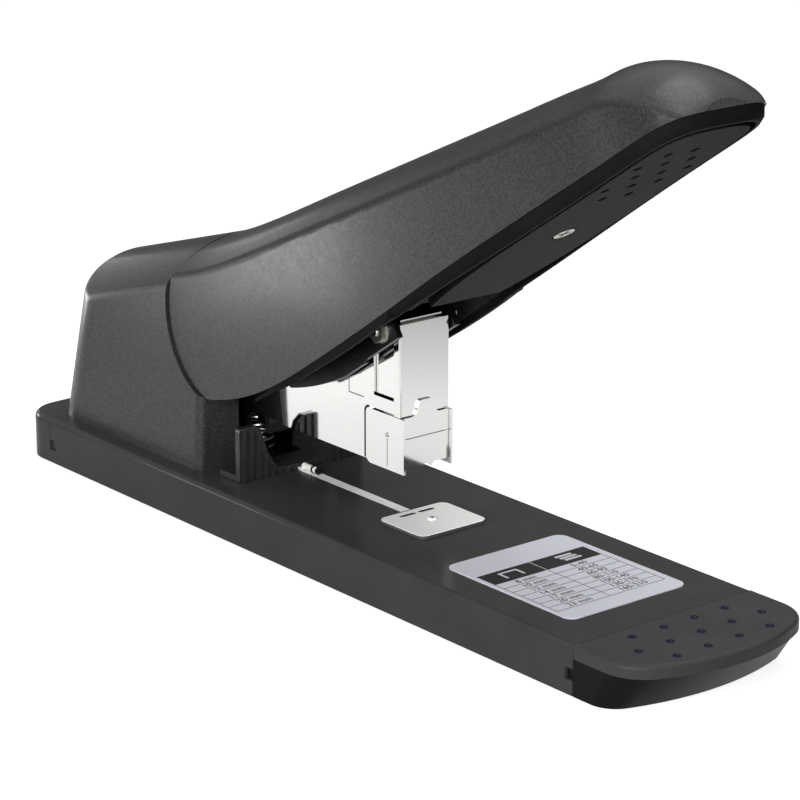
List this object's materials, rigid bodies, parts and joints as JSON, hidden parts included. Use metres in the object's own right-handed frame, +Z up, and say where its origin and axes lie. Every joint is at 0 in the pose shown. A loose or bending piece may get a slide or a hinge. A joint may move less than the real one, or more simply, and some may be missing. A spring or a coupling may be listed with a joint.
{
  "type": "stapler",
  "caption": "Heavy-duty long-handle stapler with a flat base, rear housing, lifting lever handle, front-loading magazine and sliding paper guide.",
  "frame": {"origin": "on the table, under the middle of the base", "axes": "+X towards the base's bowed front end, +Y to the left of someone who looks along +X, +Z up"},
  "size_m": [0.315, 0.07, 0.1751],
  "materials": {
    "shell_grey": "satin, fine metallic flake",
    "base_grey": "gloss moulded",
    "black_plastic": "satin moulded",
    "bright_steel": "polished plate",
    "satin_steel": "satin",
    "dark_steel": "black satin",
    "spring_steel": "drawn wire",
    "screw_zinc": "zinc plated",
    "foot_rubber": "matte",
    "label_film": "satin silver film"
  },
  "bodies": {
    "base": {"base_cover": "base_grey", "front_cap": "base_grey", "rear_cap": "base_grey", "base_plate": "dark_steel", "feet": "foot_rubber", "base_screws": "screw_zinc", "anvil_plate": "satin_steel", "anvil_rivet": "satin_steel", "label_plate": "label_film", "guide_rail": "bright_steel", "chassis_frame": "dark_steel", "handle_pin": "satin_steel", "magazine_pin": "satin_steel", "rear_housing": "shell_grey", "handle_spring": "spring_steel", "magazine_spring": "spring_steel"},
    "handle": {"handle_shell": "shell_grey", "handle_under_cover": "black_plastic", "lever_frame": "dark_steel", "pin_bushes": "satin_steel", "link_bolt": "screw_zinc", "link_nuts": "screw_zinc", "handle_screw": "screw_zinc"},
    "magazine": {"magazine_arm": "dark_steel", "magazine_channel": "bright_steel", "throat_plate": "bright_steel", "head_cover": "bright_steel", "clip_plates": "bright_steel", "head_rivets": "satin_steel", "catch_bracket": "dark_steel"},
    "driver": {"driver_blade": "satin_steel", "driver_carriage": "bright_steel"},
    "loader": {"staple_tray": "bright_steel", "staple_core": "satin_steel", "pusher_rod": "satin_steel", "pusher_spring": "spring_steel", "staple_strip": "bright_steel"},
    "pusher": {"staple_pusher": "black_plastic"},
    "guide": {"paper_guide": "black_plastic", "guide_clip": "bright_steel"},
    "catch": {"release_catch": "black_plastic"}
  },
  "joints": [
    {"name": "handle_press", "type": "hinge", "parent": "base", "child": "handle", "pos_m": [-0.052, 0, 0.0691], "axis": [0, 1, 0], "range_deg": [0, 31], "stiffness_Nm_per_rad": 1.2, "springref_deg": -28.65, "deforming": ["handle_spring"]},
    {"name": "magazine_tilt", "type": "hinge", "parent": "base", "child": "magazine", "pos_m": [-0.116, 0, 0.045], "axis": [0, 1, 0], "range_deg": [0, 6.5], "deforming": ["magazine_spring"]},
    {"name": "driver_slide", "type": "slide", "parent": "magazine", "child": "driver", "axis": [0, 0, -1], "range_m": [0, 0.0207]},
    {"name": "loader_slide", "type": "slide", "parent": "magazine", "child": "loader", "axis": [1, 0, 0], "range_m": [0, 0.1]},
    {"name": "pusher_slide", "type": "slide", "parent": "loader", "child": "pusher", "axis": [-1, 0, 0], "range_m": [0, 0.03], "stiffness_N_per_m": 20, "springref_m": -0.04, "deforming": ["pusher_spring"]},
    {"name": "guide_slide", "type": "slide", "parent": "base", "child": "guide", "axis": [1, 0, 0], "range_m": [0, 0.044]},
    {"name": "catch_press", "type": "hinge", "parent": "magazine", "child": "catch", "pos_m": [-0.0576, 0, 0.0311], "axis": [0, 1, 0], "range_deg": [0, 15], "stiffness_Nm_per_rad": 0.01, "springref_deg": -22.92}
  ],
  "couplings": [
    {"joint": "magazine_tilt", "follows": "handle_press", "ratio": 0.208},
    {"joint": "driver_slide", "follows": "handle_press", "m_per_rad": 0.0379}
  ]
}
